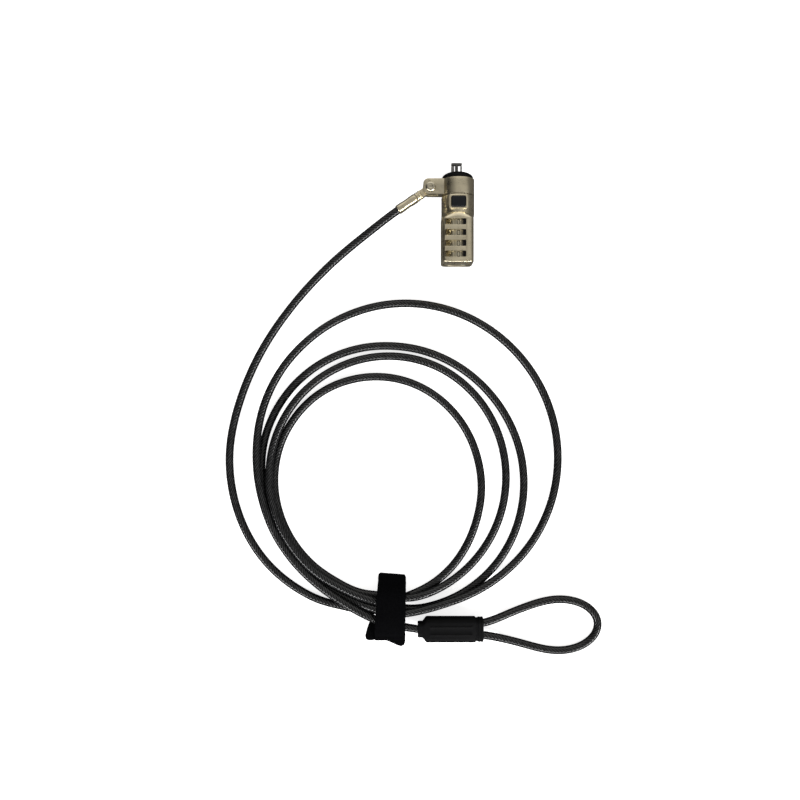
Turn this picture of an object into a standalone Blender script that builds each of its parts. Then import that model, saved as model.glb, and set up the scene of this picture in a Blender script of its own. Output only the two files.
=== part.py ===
"""Combination cable lock: a head with four number wheels and a T-bar nose, a swivelling collar with
a pivoting cable end, and a coiled cable that ends in an eye loop.

The origin is the centre of the head's flat back face. +Y runs to the nose, +Z out of the front,
and the lock lies on its back on the plane Z = 0."""

import math

import bmesh
import bpy
from mathutils import Matrix, Vector

MM = 0.001
GAP = 0.3 * MM

# Head casing
HEAD_WIDTH = 15.5 * MM
HEAD_X = -0.5 * MM  # the block sits a little towards the clevis, as the wheels do
HEAD_DEPTH = 17.2 * MM
HEAD_LOW = -11.85 * MM
BLOCK_TOP = 10.6 * MM
SHOULDER_TOP = 14.65 * MM
CORNER = 2.6 * MM
EDGE = 0.6 * MM
NECK_RADIUS = 8.0 * MM
NECK_Z = 8.1 * MM
NECK_TOP = 21.55 * MM
SPIGOT_RADIUS = 5.6 * MM
COLLAR_LOW = NECK_TOP + GAP
COLLAR_TOP = 29.9 * MM

# Lock mechanism, whose axis runs along Y a little off the neck's own
MECH_X = -0.8 * MM
MECH_Z = 9.4 * MM
WHEEL_PITCH = 5.2 * MM
WHEEL_WIDTH = 4.4 * MM
WHEEL_RADIUS = 6.5 * MM
WHEEL_BORE = 4.3 * MM
WHEEL_COUNT = 4
SLEEVE_RADIUS = WHEEL_BORE - GAP
CAVITY_RADIUS = WHEEL_RADIUS + GAP
CAVITY_TOP = 11.4 * MM
WINDOW_LOW_X, WINDOW_HIGH_X = -6.8 * MM, 3.4 * MM
WINDOW_HEIGHT = 2.95 * MM
SHAFT_RADIUS = 1.5 * MM
STROKE = 2.0 * MM
CRANK_DISC_RADIUS = 2.1 * MM
BORE_RADIUS = 3.1 * MM
RESET_OFFSET = (3.4 * MM, 0, -2.0 * MM)  # of the code-change screw from the wheels' axis
BASE_TOP = -10.6 * MM
PLATE_LOW, PLATE_TOP = 10.35 * MM, 11.1 * MM
FIN_HALF, FIN_RADIUS = 0.4 * MM, 2.5 * MM

# Button and the chamber it works in
BUTTON_X, BUTTON_Y = -0.23 * MM, 17.6 * MM
BUTTON_HALF_X, BUTTON_HALF_Y = 3.5 * MM, 2.6 * MM
BUTTON_TOP = 17.3 * MM
CHAMBER_HALF_X = 5.0 * MM
CHAMBER_LOW_Z, CHAMBER_HIGH_Z = 3.0 * MM, 13.6 * MM
CHAMBER_TOP_Y = 21.0 * MM
FLANGE_LOW_Z, FLANGE_HIGH_Z = 12.4 * MM, 13.3 * MM

# Clevis and cable end
RIVET_X, RIVET_Y = -13.65 * MM, 25.85 * MM
RIVET_RADIUS = 1.5 * MM
LUG_LEFT = -17.2 * MM
LUG_LOW, LUG_TOP = 22.3 * MM, 29.9 * MM
LUG_LOW_Z, LUG_HIGH_Z = 4.15 * MM, 12.05 * MM
SLOT_HALF = 1.8 * MM
CABLE_END_ANGLE = math.radians(213.9)
SLEEVE_START, SLEEVE_END = 8.5 * MM, 19.35 * MM
BARREL_RADIUS = 2.35 * MM

# Cable
CABLE_RADIUS = 1.95 * MM
LEAD_ROUTE = [
    (-30.0, 14.85, 8.1),
    (-39.0, 8.2, 7.4),
    (-58.3, -6.65, 3.4),
    (-73.9, -21.6, 2.0),
    (-86.1, -36.3, 2.0),
    (-95.7, -50.5, 2.0),
    (-103.0, -64.5, 2.0),
    (-108.35, -78.3, 2.0),
    (-112.0, -91.85, 2.0),
    (-113.75, -105.3, 2.0),
    (-113.15, -118.55, 2.0),
    (-110.55, -131.25, 2.0),
    (-106.05, -143.1, 2.0),
    (-99.8, -153.9, 2.0),
    (-91.9, -163.25, 2.0),
    (-82.55, -170.95, 2.0),
    (-72.2, -176.95, 2.0),
    (-66.2, -179.3, 2.0),
]
TAIL_ROUTE = [(-25.2, -191.5, 4.4), (-21.3, -192.35, 4.3), (-16.0, -192.5, 4.3), (-10.4, -192.5, 4.3)]
LOOP_ROUTE = [
    (9.0, -189.9, 4.3),
    (13.15, -189.5, 4.15),
    (27.9, -184.35, 2.3),
    (41.2, -179.75, 2.0),
    (52.4, -178.3, 2.0),
    (62.6, -180.8, 2.0),
    (68.8, -185.9, 2.0),
    (70.3, -190.5, 2.0),
    (68.25, -196.1, 2.0),
    (62.6, -200.7, 2.0),
    (54.95, -203.2, 2.0),
    (47.3, -203.5, 2.0),
    (37.1, -201.45, 2.0),
    (26.9, -198.65, 2.3),
    (13.15, -195.5, 4.15),
    (9.0, -195.1, 4.3),
]
# Outermost and innermost turn of the coil: the ellipse that each follows where it starts, and where it
# ends a turn later, as centre x, centre y, half width and half height
OUTER_TURN = ((-28.1, -103.3, 81.8, 79.9), (-28.1, -111.6, 68.7, 74.8))
INNER_TURN = ((-38.9, -126.1, 49.3, 53.0), (-38.9, -116.8, 54.0, 57.4))
COIL_RIGHT_X, COIL_LEFT_X = -25.2, -44.6
COIL_LOW_HEIGHT, COIL_HIGH_HEIGHT = 4.1 * MM, 7.6 * MM

# Eye loop crimp
COVER_LEFT, COVER_RIGHT = -19.8 * MM, 12.7 * MM
COVER_Y, COVER_Z = -192.5 * MM, 4.3 * MM
COVER_HALF_WIDTH, COVER_HALF_DEPTH = 6.15 * MM, 4.25 * MM
FERRULE_LEFT, FERRULE_RIGHT = -10.0 * MM, 8.3 * MM


def clear_scene():
    for obj in list(bpy.data.objects):
        bpy.data.objects.remove(obj, do_unlink=True)


def material(name, color, roughness, metallic):
    made = bpy.data.materials.new(name)
    made.use_nodes = True
    shader = made.node_tree.nodes["Principled BSDF"]
    shader.inputs["Base Color"].default_value = (*color, 1)
    shader.inputs["Roughness"].default_value = roughness
    shader.inputs["Metallic"].default_value = metallic
    return made


# ---- shapes, each a new bmesh ----


def grid_of_rings(rings, closed_along=False):
    """A skin over rings of points, capped at both ends unless it closes on itself."""
    bm = bmesh.new()
    loops = [[bm.verts.new(p) for p in ring] for ring in rings]
    count = len(loops)
    for i in range(count if closed_along else count - 1):
        a, b = loops[i], loops[(i + 1) % count]
        for j in range(len(a)):
            k = (j + 1) % len(a)
            bm.faces.new((a[j], a[k], b[k], b[j]))
    if not closed_along:
        bm.faces.new(loops[0])
        bm.faces.new(loops[-1])
    bmesh.ops.recalc_face_normals(bm, faces=bm.faces)
    return bm


def turned(profile, segments=32, hollow=False):
    """A solid of revolution round Y from (radius, y) points; hollow means the profile is a closed loop."""
    angles = [2 * math.pi * i / segments for i in range(segments)]
    rings = [[(r * math.sin(a), y, r * math.cos(a)) for a in angles] for r, y in profile]
    return grid_of_rings(rings, closed_along=hollow)


def tube(outer, inner, low, high, edge=0.0, segments=32):
    """A ring round Y, its outer edges chamfered by edge."""
    profile = [(inner, low), (outer - edge, low)]
    if edge:
        profile += [(outer, low + edge), (outer, high - edge)]
    profile += [(outer - edge, high), (inner, high)]
    return turned(profile, segments, hollow=True)


def rod(radius, low, high, segments=24, edge=0.0):
    profile = [(radius - edge, low), (radius - edge, high)]
    if edge:
        profile[1:1] = [(radius, low + edge), (radius, high - edge)]
    return turned(profile, segments)


def prism(outline, axis, low, high):
    """The outline, points in the two axes other than axis, extruded along axis."""
    spread = {
        "X": lambda a, b, c: (c, a, b),
        "Y": lambda a, b, c: (a, c, b),
        "Z": lambda a, b, c: (a, b, c),
    }[axis]
    return grid_of_rings([[spread(a, b, c) for a, b in outline] for c in (low, high)])


def box(low, high):
    (x0, y0, z0), (x1, y1, z1) = low, high
    return prism([(x0, y0), (x1, y0), (x1, y1), (x0, y1)], "Z", z0, z1)


def rounded_rectangle(centre, half, radius, steps=3):
    points = []
    for quarter, (sx, sy) in enumerate([(1, 1), (-1, 1), (-1, -1), (1, -1)]):
        for i in range(steps + 1):
            a = math.pi / 2 * (quarter + i / steps)
            points.append(
                (
                    centre[0] + sx * (half[0] - radius) + radius * math.cos(a),
                    centre[1] + sy * (half[1] - radius) + radius * math.sin(a),
                )
            )
    return points


def moved(bm, offset=(0, 0, 0), turn=None):
    if turn:
        bmesh.ops.transform(bm, matrix=turn, verts=bm.verts)
    bmesh.ops.translate(bm, vec=Vector(offset), verts=bm.verts)
    return bm


# ---- objects ----


def add(name, bm, finish, at=(0, 0, 0), axis=None):
    """A named object whose mesh is drawn round the point at; axis is the empty of the joint it moves on."""
    mesh = bpy.data.meshes.new(name)
    bm.to_mesh(mesh)
    bm.free()
    mesh.materials.append(finish)
    mesh.shade_smooth()
    mesh.set_sharp_from_angle(angle=math.radians(35))
    obj = bpy.data.objects.new(name, mesh)
    bpy.context.scene.collection.objects.link(obj)
    obj.location = at
    if axis:
        hang(obj, axis)
    return obj


def hang(obj, axis):
    obj.parent = axis
    obj.matrix_parent_inverse = Matrix.Translation(axis.location).inverted()


def joint_axis(name, at):
    empty = bpy.data.objects.new(name, None)
    empty.location = at
    empty.empty_display_size = 5 * MM
    bpy.context.scene.collection.objects.link(empty)
    return empty


def combine(obj, bm, operation):
    """A Boolean on obj with a hidden helper drawn from bm, in obj's own coordinates."""
    index = len(obj.modifiers)
    mesh = bpy.data.meshes.new(f"{obj.name}_{operation.lower()}_{index}")
    bm.to_mesh(mesh)
    bm.free()
    helper = bpy.data.objects.new(mesh.name, mesh)
    bpy.context.scene.collection.objects.link(helper)
    helper.location = obj.location
    helper.hide_render = True
    helper.display_type = "WIRE"
    modifier = obj.modifiers.new(mesh.name, "BOOLEAN")
    modifier.object = helper
    modifier.operation = operation
    modifier.solver = "EXACT"


def cut(obj, bm):
    combine(obj, bm, "DIFFERENCE")


def join(obj, bm):
    combine(obj, bm, "UNION")


def wire(name, points, radius, finish, resolution=2):
    """A round wire or cord along the points."""
    curve = bpy.data.curves.new(name, "CURVE")
    curve.dimensions = "3D"
    curve.bevel_depth = radius
    curve.bevel_resolution = resolution
    curve.use_fill_caps = True
    spline = curve.splines.new("POLY")
    spline.points.add(len(points) - 1)
    for target, point in zip(spline.points, points):
        target.co = (*point, 1)
    curve.materials.append(finish)
    obj = bpy.data.objects.new(name, curve)
    bpy.context.scene.collection.objects.link(obj)
    return obj


def smooth_route(route, spacing):
    """Points every spacing along a Catmull-Rom curve through the route, which is in millimetres."""
    knots = [Vector(p) * MM for p in route]
    knots = [2 * knots[0] - knots[1], *knots, 2 * knots[-1] - knots[-2]]
    fine = []
    for a, b, c, d in zip(knots, knots[1:], knots[2:], knots[3:]):
        for i in range(40):
            t = i / 40
            fine.append(
                0.5
                * (2 * b + (c - a) * t + (2 * a - 5 * b + 4 * c - d) * t * t + (3 * b - a - 3 * c + d) * t**3)
            )
    fine.append(knots[-2])
    lengths = [0.0]
    for p, q in zip(fine, fine[1:]):
        lengths.append(lengths[-1] + (q - p).length)
    pieces = max(2, round(lengths[-1] / spacing))
    points = []
    at = 0
    for i in range(pieces + 1):
        wanted = lengths[-1] * i / pieces
        while at < len(lengths) - 2 and lengths[at + 1] < wanted:
            at += 1
        share = (wanted - lengths[at]) / (lengths[at + 1] - lengths[at])
        points.append(fine[at].lerp(fine[at + 1], min(1.0, share)))
    return points


def helix(centre, along, radius, low, high, turns, steps):
    """Points of a coil spring round an axis along Y or Z."""
    points = []
    for i in range(turns * steps + 1):
        a = 2 * math.pi * i / steps
        rise = low + (high - low) * i / (turns * steps)
        u, v = radius * math.cos(a), radius * math.sin(a)
        across = centre[0] + u, centre[1] + v
        points.append((across[0], rise, across[1]) if along == "Y" else (*across, rise))
    return points


# ---- head casing ----


def casing_section(inset, roundness):
    """Points round the casing: a rounded square whose front half turns into the round neck."""
    square = rounded_rectangle(
        (HEAD_X, HEAD_DEPTH / 2), (HEAD_WIDTH / 2 - inset, HEAD_DEPTH / 2 - inset), CORNER - inset, steps=5
    )
    points = []
    for i, (x, z) in enumerate(square):
        points.append((x, z))
        next_x, next_z = square[(i + 1) % len(square)]
        if i % 6 == 5:
            points += [(x + (next_x - x) * k / 5, z + (next_z - z) * k / 5) for k in range(1, 5)]
    shaped = []
    for x, z in points:
        away = math.atan2(z - NECK_Z, x)
        front = min(1.0, max(0.0, (z - 6 * MM) / (2 * MM)))
        share = roundness * front
        round_x, round_z = NECK_RADIUS * math.cos(away), NECK_Z + NECK_RADIUS * math.sin(away)
        shaped.append((x + (round_x - x) * share, z + (round_z - z) * share))
    return shaped


def wheel_positions():
    return [WHEEL_PITCH * ((WHEEL_COUNT - 1) / 2 - i) for i in range(WHEEL_COUNT)]


def dial_housing(finish, axis):
    stations = [
        (HEAD_LOW, EDGE, 0),
        (HEAD_LOW + EDGE, 0, 0),
        (BLOCK_TOP, 0, 0),
        (BLOCK_TOP + 2 * EDGE, EDGE, 0),
        (SHOULDER_TOP, EDGE / 2, 1),
        (NECK_TOP, EDGE / 2, 1),
    ]
    bm = grid_of_rings([[(x, y, z) for x, z in casing_section(inset, share)] for y, inset, share in stations])
    obj = add("dial_housing", bm, finish, axis=axis)
    pad = rounded_rectangle((BUTTON_X, BUTTON_Y), (4.6 * MM, 3.5 * MM), 1.0 * MM)
    join(obj, prism(pad, "Z", 13.0 * MM, 16.6 * MM))
    join(obj, moved(rod(SPIGOT_RADIUS, NECK_TOP - 0.5 * MM, COLLAR_TOP, 40), (0, 0, NECK_Z)))
    mech = (MECH_X, 0, MECH_Z)
    cut(obj, moved(rod(CAVITY_RADIUS, HEAD_LOW - 1 * MM, CAVITY_TOP, 40), mech))
    chamber_low = (-CHAMBER_HALF_X, CAVITY_TOP - 0.5 * MM, CHAMBER_LOW_Z)
    cut(obj, box(chamber_low, (CHAMBER_HALF_X, CHAMBER_TOP_Y, CHAMBER_HIGH_Z)))
    opening = rounded_rectangle(
        (BUTTON_X, BUTTON_Y), (BUTTON_HALF_X + GAP, BUTTON_HALF_Y + GAP), 1.1 * MM
    )
    cut(obj, prism(opening, "Z", CHAMBER_HIGH_Z - 1 * MM, 18 * MM))
    cut(obj, moved(rod(2.4 * MM, CHAMBER_TOP_Y - 0.5 * MM, 23.5 * MM), mech))
    cut(obj, moved(rod(BORE_RADIUS, 22.8 * MM, COLLAR_TOP + 1 * MM), mech))
    cut(obj, box((1.6 * MM, HEAD_LOW - 1 * MM, 13.5 * MM), (5.2 * MM, 10.9 * MM, 16.2 * MM)))
    for y in wheel_positions():
        centre = (WINDOW_LOW_X + WINDOW_HIGH_X) / 2, y
        half = (WINDOW_HIGH_X - WINDOW_LOW_X) / 2, WINDOW_HEIGHT / 2
        cut(obj, prism(rounded_rectangle(centre, half, 0.25 * MM, steps=1), "Z", 10.0 * MM, 18 * MM))


def base_cap(finish, axis):
    body = rod(CAVITY_RADIUS - GAP, HEAD_LOW + GAP / 2, BASE_TOP, 40)
    obj = add("base_cap", body, finish, (MECH_X, 0, MECH_Z), axis)
    cut(obj, moved(rod(1.9 * MM, HEAD_LOW - 1 * MM, -10 * MM), RESET_OFFSET))


def reset_screw(finish, axis):
    body = rod(1.6 * MM, HEAD_LOW + 0.25 * MM, -10.35 * MM, 20)
    obj = add("reset_screw", body, finish, axis.location, axis)
    cut(obj, box((-2 * MM, HEAD_LOW - 1 * MM, -0.25 * MM), (2 * MM, HEAD_LOW + 0.8 * MM, 0.25 * MM)))


def divider_plate(finish, axis):
    plate = rod(CAVITY_RADIUS - GAP, PLATE_LOW, PLATE_TOP, 40)
    obj = add("divider_plate", plate, finish, (MECH_X, 0, MECH_Z), axis)
    low, high = PLATE_LOW - GAP, PLATE_TOP + GAP
    cut(obj, rod(SHAFT_RADIUS + GAP, low, high))
    cut(obj, box((-FIN_HALF - 0.2 * MM, low, 0), (FIN_HALF + 0.2 * MM, high, FIN_RADIUS + GAP)))
    cut(obj, box((2.1 * MM, low, 4 * MM), (6 * MM, high, 7 * MM)))


def detent_spring(finish, axis):
    obj = add(
        "detent_spring",
        box((1.9 * MM, -10.4 * MM, 15.5 * MM), (4.9 * MM, 10.1 * MM, 15.8 * MM)),
        finish,
        axis=axis,
    )
    for y in wheel_positions():
        join(obj, box((4.5 * MM, y - 0.6 * MM, 14.6 * MM), (4.8 * MM, y + 0.6 * MM, 15.6 * MM)))


# ---- wheels and control shaft ----


def number_wheels(finish, sleeve_finish, head):
    half = WHEEL_WIDTH / 2
    for number, y in enumerate(wheel_positions(), 1):
        axis = joint_axis(f"wheel_axis_{number}", (MECH_X, y, MECH_Z))
        hang(axis, head)
        ring = tube(WHEEL_RADIUS, WHEEL_BORE, -half, half, 0.25 * MM, 40)
        wheel = add(f"number_wheel_{number}", ring, finish, axis.location, axis)
        cut(wheel, box((-0.65 * MM, -3 * MM, -4.9 * MM), (0.65 * MM, 3 * MM, -3.9 * MM)))
        sleeve = add(f"code_sleeve_{number}", sleeve_body(half), sleeve_finish, axis.location, axis)
        join(sleeve, box((-0.4 * MM, -2 * MM, -4.55 * MM), (0.4 * MM, 2 * MM, -3.6 * MM)))
        gate_half = FIN_HALF + 0.2 * MM
        cut(sleeve, box((-gate_half, -1 * MM, 0), (gate_half, 1 * MM, FIN_RADIUS + GAP)))


def sleeve_body(half):
    """A sleeve with a thin web halfway along, which the shaft's fins pass only at the gate."""
    web, recess, bore = 0.45 * MM, 3.0 * MM, SHAFT_RADIUS + GAP
    profile = [
        (SLEEVE_RADIUS, -half),
        (SLEEVE_RADIUS, half),
        (recess, half),
        (recess, web),
        (bore, web),
        (bore, -web),
        (recess, -web),
        (recess, -half),
    ]
    return turned(profile, 24, hollow=True)


def control_shaft(finish, spring_finish, head):
    axis = joint_axis("shaft_axis", (MECH_X, 0, MECH_Z))
    hang(axis, head)
    obj = add("control_shaft", rod(SHAFT_RADIUS, -8.5 * MM, 13.9 * MM), finish, axis.location, axis)
    for y in wheel_positions():
        join(obj, box((-FIN_HALF, y + 0.65 * MM, 1.2 * MM), (FIN_HALF, y + 1.35 * MM, FIN_RADIUS)))
    ear = [(13.6 * MM, -1.6 * MM), (15.6 * MM, -1.6 * MM), (13.6 * MM, 0.4 * MM)]
    join(obj, prism(ear, "X", -2.7 * MM, -0.2 * MM))
    cut(obj, rod(0.95 * MM, -9 * MM, -2 * MM, 16))
    coil = helix((MECH_X, MECH_Z), "Y", 0.62 * MM, -10.2 * MM, -2.4 * MM, 9, 8)
    hang(wire("shaft_spring", coil, 0.13 * MM, spring_finish, 0), head)


# ---- button, T-bar and nose ----


def button(finish, spring_finish, head):
    axis = joint_axis("button_axis", (BUTTON_X, BUTTON_Y, BUTTON_TOP))
    hang(axis, head)
    outline = rounded_rectangle((0, 0), (BUTTON_HALF_X, BUTTON_HALF_Y), 0.9 * MM)
    block = prism(outline, "Z", 12.9 * MM - BUTTON_TOP, 0)
    bmesh.ops.bevel(
        block,
        geom=[e for e in block.edges if all(v.co.z > -MM for v in e.verts)],
        offset=0.4 * MM,
        segments=2,
        affect="EDGES",
    )
    obj = add("button", block, finish, axis.location, axis)
    x, y, z = BUTTON_X, BUTTON_Y, BUTTON_TOP
    flange_low = (-4.0 * MM, 13.85 * MM - y, FLANGE_LOW_Z - z)
    join(obj, box(flange_low, (4.0 * MM, CHAMBER_TOP_Y - GAP - y, FLANGE_HIGH_Z - z)))
    plate_low = (MECH_X - x + 0.1 * MM, 14.9 * MM - y, 9.0 * MM - z)
    join(obj, box(plate_low, (MECH_X - x + 2.4 * MM, 15.9 * MM - y, 12.9 * MM - z)))
    pin_z = MECH_Z + STROKE / 2 - z
    slot_low = (MECH_X - x + 0.5 * MM, 14 * MM - y, pin_z - 0.47 * MM)
    cut(obj, box(slot_low, (MECH_X - x + 1.92 * MM, 17 * MM - y, pin_z + 0.47 * MM)))
    wedge = [(13.85 * MM, 9.85 * MM), (16.0 * MM, 7.7 * MM), (16.0 * MM, 12.8 * MM), (13.85 * MM, 12.8 * MM)]
    left, right = MECH_X - x - 2.7 * MM, MECH_X - x - 1.7 * MM
    join(obj, prism([(a - y, b - z) for a, b in wedge], "X", left, right))
    relief = CRANK_DISC_RADIUS + GAP
    relief_low = (MECH_X - x - relief, 15.95 * MM - y, FLANGE_LOW_Z - GAP - z)
    cut(obj, box(relief_low, (MECH_X - x + relief, CHAMBER_TOP_Y - y, MECH_Z + relief + STROKE - z)))
    coil = helix((2.9 * MM, 18.4 * MM), "Z", 1.1 * MM, CHAMBER_LOW_Z + GAP, FLANGE_LOW_Z - GAP, 6, 10)
    hang(wire("button_spring", coil, 0.18 * MM, spring_finish, 0), head)


def t_bar_spindle(finish, head):
    axis = joint_axis("t_bar_axis", (MECH_X, 0, MECH_Z))
    hang(axis, head)
    profile = [
        (CRANK_DISC_RADIUS / MM, 16.2),
        (CRANK_DISC_RADIUS / MM, 17.0),
        (1.2, 17.0),
        (1.2, 22.9),
        (2.2, 22.9),
        (2.2, 23.5),
        (1.2, 23.5),
        (1.2, 30.4),
        (0.75, 30.8),
        (0.75, 37.0),
    ]
    body = turned([(r * MM, y * MM) for r, y in profile], 24)
    obj = add("t_bar_spindle", body, finish, axis.location, axis)
    bar = rounded_rectangle((0, 37.2 * MM), (2.65 * MM, 0.6 * MM), 0.45 * MM)
    join(obj, prism(bar, "Z", -1.0 * MM, 1.0 * MM))
    join(obj, moved(rod(0.35 * MM, 14.6 * MM, 16.5 * MM, 12), (STROKE / 2, 0, STROKE / 2)))


def spindle_bush(finish, head):
    ring = tube(BORE_RADIUS - GAP, 1.5 * MM, 23.8 * MM, 27.8 * MM)
    add("spindle_bush", ring, finish, (MECH_X, 0, MECH_Z), head)


def nose_insert(finish, head):
    flange = moved(rod(6.0 * MM, 30.2 * MM, 31.0 * MM, 40), (0, 0, NECK_Z))
    obj = add("nose_insert", flange, finish, axis=head)
    join(obj, moved(rod(BORE_RADIUS - GAP, 28.2 * MM, 30.6 * MM), (MECH_X, 0, MECH_Z)))
    for middle, half in ((-1.9 * MM, 0.7 * MM), (2.25 * MM, 0.35 * MM)):
        pin = rounded_rectangle((MECH_X + middle, MECH_Z), (half, 1.1 * MM), 0.3 * MM, steps=2)
        join(obj, prism(pin, "Y", 30.7 * MM, 36.2 * MM))
    slot_x, slot_z = 1.15 * MM, 2.3 * MM
    slot = ((MECH_X - slot_x, 27 * MM, MECH_Z - slot_z), (MECH_X + slot_x, 32 * MM, MECH_Z + slot_z))
    cut(obj, moved(rod(1.5 * MM, 27 * MM, 32 * MM), (MECH_X, 0, MECH_Z)))
    cut(obj, box(*slot))


def bumper_cap(finish, head):
    base, top = 30.2 * MM, 33.6 * MM
    profile = [(7.3 * MM, base)]
    for i in range(7):
        a = math.pi / 2 * i / 7
        profile.append((7.6 * MM * math.cos(a), base + 0.5 * MM + (top - base - 0.5 * MM) * math.sin(a)))
    profile.append((0.8 * MM, top))
    obj = add("bumper_cap", moved(turned(profile, 40), (-0.2 * MM, 0, NECK_Z)), finish, axis=head)
    cut(obj, moved(rod(6.3 * MM, base - 1 * MM, 31.3 * MM, 40), (0, 0, NECK_Z)))
    opening = rounded_rectangle((MECH_X, MECH_Z), (2.95 * MM, 1.45 * MM), 0.4 * MM, steps=2)
    cut(obj, prism(opening, "Y", 30 * MM, 35 * MM))


# ---- collar and cable end ----


def swivel_collar(finish, pivot):
    axis = (0, 0, NECK_Z)
    ring = tube(NECK_RADIUS, SPIGOT_RADIUS + 0.5 * MM, COLLAR_LOW, COLLAR_TOP, 0.25 * MM, 48)
    obj = add("swivel_collar", ring, finish, axis, pivot)
    lug = [(-6.5 * MM, LUG_LOW), (-6.5 * MM, LUG_TOP)]
    for quarter, corner_y in ((1, LUG_TOP), (2, LUG_LOW)):
        sign = 1 if quarter == 1 else -1
        for i in range(6):
            a = math.pi / 2 * (quarter + i / 5)
            centre = (LUG_LEFT + 2.5 * MM, corner_y - sign * 2.5 * MM)
            lug.append((centre[0] + 2.5 * MM * math.cos(a), centre[1] + 2.5 * MM * math.sin(a)))
    join(obj, prism(lug, "Z", LUG_LOW_Z - NECK_Z, LUG_HIGH_Z - NECK_Z))
    cut(obj, box((-18 * MM, 22 * MM, -SLOT_HALF), (-10 * MM, 31 * MM, SLOT_HALF)))
    cut(obj, rod(SPIGOT_RADIUS + GAP, 21 * MM, 31 * MM, 48))
    hole = moved(rod(RIVET_RADIUS + GAP, -5 * MM, 5 * MM), turn=Matrix.Rotation(math.pi / 2, 4, "X"))
    cut(obj, moved(hole, (RIVET_X, RIVET_Y, 0)))


def pivot_rivet(finish, pivot):
    low, high, head, head_height = LUG_LOW_Z - NECK_Z, LUG_HIGH_Z - NECK_Z, 2.5 * MM, 0.65 * MM
    profile = [
        (1.2 * MM, low - GAP - head_height + 0.4 * MM),
        (1.4 * MM, low - GAP - head_height),
        (2.2 * MM, low - GAP - head_height),
        (head, low - GAP - 0.2 * MM),
        (head, low - GAP),
        (RIVET_RADIUS, low - GAP),
        (RIVET_RADIUS, high + GAP),
        (head, high + GAP),
        (head, high + GAP + 0.2 * MM),
        (2.2 * MM, high + GAP + head_height),
        (1.4 * MM, high + GAP + head_height),
        (1.2 * MM, high + GAP + head_height - 0.4 * MM),
    ]
    upright = moved(turned(profile, 24), turn=Matrix.Rotation(math.pi / 2, 4, "X"))
    add("pivot_rivet", upright, finish, (RIVET_X, RIVET_Y, NECK_Z), pivot)


def along_cable_end(bm):
    """Turns a shape drawn along +Y from the rivet into the cable end's direction."""
    turn = Matrix.Rotation(CABLE_END_ANGLE - math.pi / 2, 4, "Z")
    return moved(bm, (RIVET_X, RIVET_Y, NECK_Z), turn)


def cable_eye_end(finish):
    barrel = [
        (1.9, 5.6),
        (BARREL_RADIUS / MM, 5.9),
        (BARREL_RADIUS / MM, 6.3),
        (2.0, 6.4),
        (2.0, 6.8),
        (BARREL_RADIUS / MM, 6.9),
        (BARREL_RADIUS / MM, 7.2),
        (2.0, 7.3),
        (2.0, 7.7),
        (BARREL_RADIUS / MM, 7.8),
        (BARREL_RADIUS / MM, 8.2),
    ]
    obj = add("cable_eye_end", along_cable_end(turned([(r * MM, y * MM) for r, y in barrel], 28)), finish)
    upright = Matrix.Rotation(math.pi / 2, 4, "X")
    join(obj, along_cable_end(moved(rod(3.1 * MM, -1.5 * MM, 1.5 * MM, 28), turn=upright)))
    join(obj, along_cable_end(box((-1.9 * MM, 0, -1.5 * MM), (1.9 * MM, 6.2 * MM, 1.5 * MM))))
    cut(obj, along_cable_end(moved(rod(RIVET_RADIUS + GAP, -3 * MM, 3 * MM), turn=upright)))


def crimp_sleeve(finish):
    body = rod(2.4 * MM, SLEEVE_START, SLEEVE_END, 16, 0.3 * MM)
    add("crimp_sleeve", along_cable_end(body), finish)


# ---- cable ----


def turn_point(turn, angle, outward):
    """A point beside a turn of the coil, which starts low on its ellipse and changes ellipse as it goes."""
    share = angle / (2 * math.pi) + 0.25
    x, y, half_x, half_y = (first + (last - first) * share for first, last in zip(*turn))
    return (x + (half_x + outward) * math.cos(angle)) * MM, (y + (half_y + outward) * math.sin(angle)) * MM


def low_angle(ellipse, x, outward):
    """The angle, from -90 to 0 degrees, at which the lower half of an ellipse lies x from the middle."""
    return -math.acos((x - ellipse[0]) / (ellipse[2] + outward))


def cable_coil(finish):
    """One solid over all the turns, open where the strap holds them, and two cables high on the left."""
    outward = CABLE_RADIUS / MM + 0.25
    steps = 44
    spans = []
    for turn, side in ((OUTER_TURN, outward), (INNER_TURN, -outward)):
        first = low_angle(turn[0], COIL_RIGHT_X, side)
        last = 2 * math.pi + low_angle(turn[1], COIL_LEFT_X, side)
        spans.append((turn, side, first, last))
    rings = []
    for i in range(steps + 1):
        share = i / steps
        outer, inner = (turn_point(turn, a + (b - a) * share, side) for turn, side, a, b in spans)
        rise = min(1.0, max(0.0, (share - 0.5) / 0.2))
        height = COIL_LOW_HEIGHT + (COIL_HIGH_HEIGHT - COIL_LOW_HEIGHT) * rise * rise * (3 - 2 * rise)
        rings.append([(*outer, 0), (*outer, height), (*inner, height), (*inner, 0)])
    add("cable_coil", grid_of_rings(rings), finish)


def cable_tubes(finish):
    wire("cable_lead", smooth_route(LEAD_ROUTE, 6 * CABLE_RADIUS), CABLE_RADIUS, finish)
    wire("cable_loop", smooth_route(LOOP_ROUTE, 4 * CABLE_RADIUS), CABLE_RADIUS, finish)
    wire("cable_tail", smooth_route(TAIL_ROUTE, 1.5 * CABLE_RADIUS), CABLE_RADIUS, finish)


def strap(finish):
    """The closed outer shape of the tie round the bundle, its two free ends included."""
    outline = [
        (-39.1, -164.9),
        (-26.0, -166.2),
        (-25.85, -194.5),
        (-26.2, -199.7),
        (-28.4, -201.6),
        (-37.65, -197.3),
        (-45.95, -197.3),
        (-44.9, -187.8),
        (-40.35, -174.5),
    ]
    add("strap", prism([(x * MM, y * MM) for x, y in outline], "Z", 0, 9.4 * MM), finish)


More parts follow.
